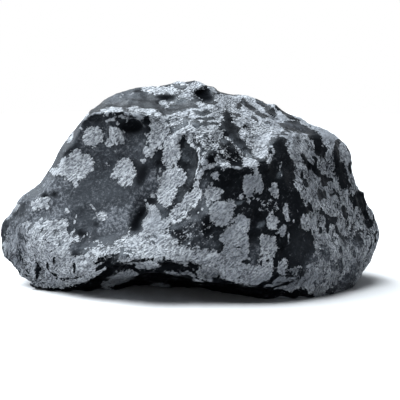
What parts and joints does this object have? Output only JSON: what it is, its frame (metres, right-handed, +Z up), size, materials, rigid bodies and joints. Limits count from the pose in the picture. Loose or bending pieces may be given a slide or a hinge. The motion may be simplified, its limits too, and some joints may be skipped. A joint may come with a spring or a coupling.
{
  "type": "snowflake obsidian stone",
  "caption": "Rough broken lump of black volcanic glass with pale grey spherulite flakes, resting on its uneven underside.",
  "frame": {"origin": "centre of the bounding box, at the level the stone rests on", "axes": "+X along the stone's length to the right as seen from in front, +Z up, the pictured front faces -Y"},
  "size_m": [0.0762, 0.0448, 0.0404],
  "materials": {
    "stone": "rough-broken black glass, satin to glossy, with dull pale grey flakes"
  },
  "bodies": {
    "root": {"snowflake_obsidian": "stone"}
  },
  "joints": []
}
